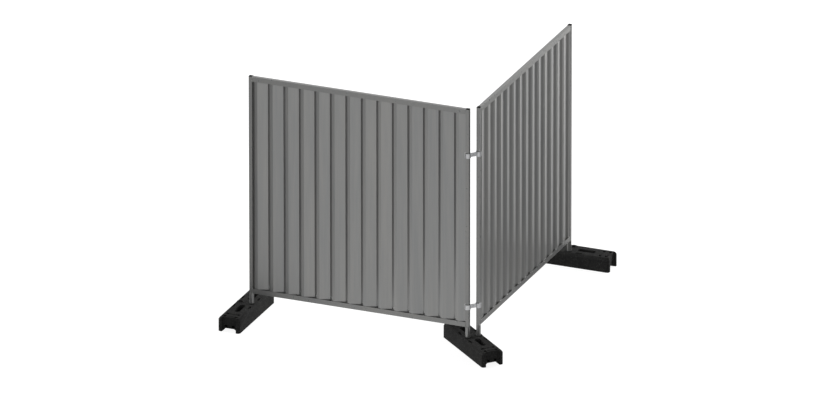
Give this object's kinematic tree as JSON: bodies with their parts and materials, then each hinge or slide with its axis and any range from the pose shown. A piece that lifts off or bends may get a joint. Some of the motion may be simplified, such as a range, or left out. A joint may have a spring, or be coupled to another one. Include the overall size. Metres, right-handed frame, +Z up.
{
  "type": "steel hoarding fence corner, two bays on moulded feet",
  "caption": "Temporary steel hoarding corner: profiled-sheet bays in a welded frame, joined at a right angle by couplers and standing in moulded block feet.",
  "frame": {"origin": "ground level under the middle of the corner foot", "axes": "+Z up; the front bay runs along -X and faces -Y; the side bay runs along +Y and faces +X"},
  "size_m": [2.7366, 2.8146, 2.3375],
  "materials": {
    "frame_steel": "satin grey coating",
    "sheet_steel": "satin grey coating",
    "zinc_plate": "bright zinc plate",
    "moulded_black": "matt moulded recycled plastic and rubber",
    "cap_black": "matt"
  },
  "bodies": {
    "root": {"front_left_post": "frame_steel", "front_right_post": "frame_steel", "front_top_rail": "frame_steel", "front_bottom_rail": "frame_steel", "front_sheet": "sheet_steel", "front_left_spigot": "frame_steel", "front_right_spigot": "frame_steel", "front_left_cap": "cap_black", "front_right_cap": "cap_black", "side_near_post": "frame_steel", "side_far_post": "frame_steel", "side_top_rail": "frame_steel", "side_bottom_rail": "frame_steel", "side_sheet": "sheet_steel", "side_near_spigot": "frame_steel", "side_far_spigot": "frame_steel", "side_near_cap": "cap_black", "side_far_cap": "cap_black", "left_foot": "moulded_black", "corner_foot": "moulded_black", "far_foot": "moulded_black", "upper_coupler_outer": "zinc_plate", "upper_coupler_inner": "zinc_plate", "upper_coupler_bolt": "zinc_plate", "upper_coupler_nut": "zinc_plate", "lower_coupler_outer": "zinc_plate", "lower_coupler_inner": "zinc_plate", "lower_coupler_bolt": "zinc_plate", "lower_coupler_nut": "zinc_plate"}
  },
  "joints": []
}
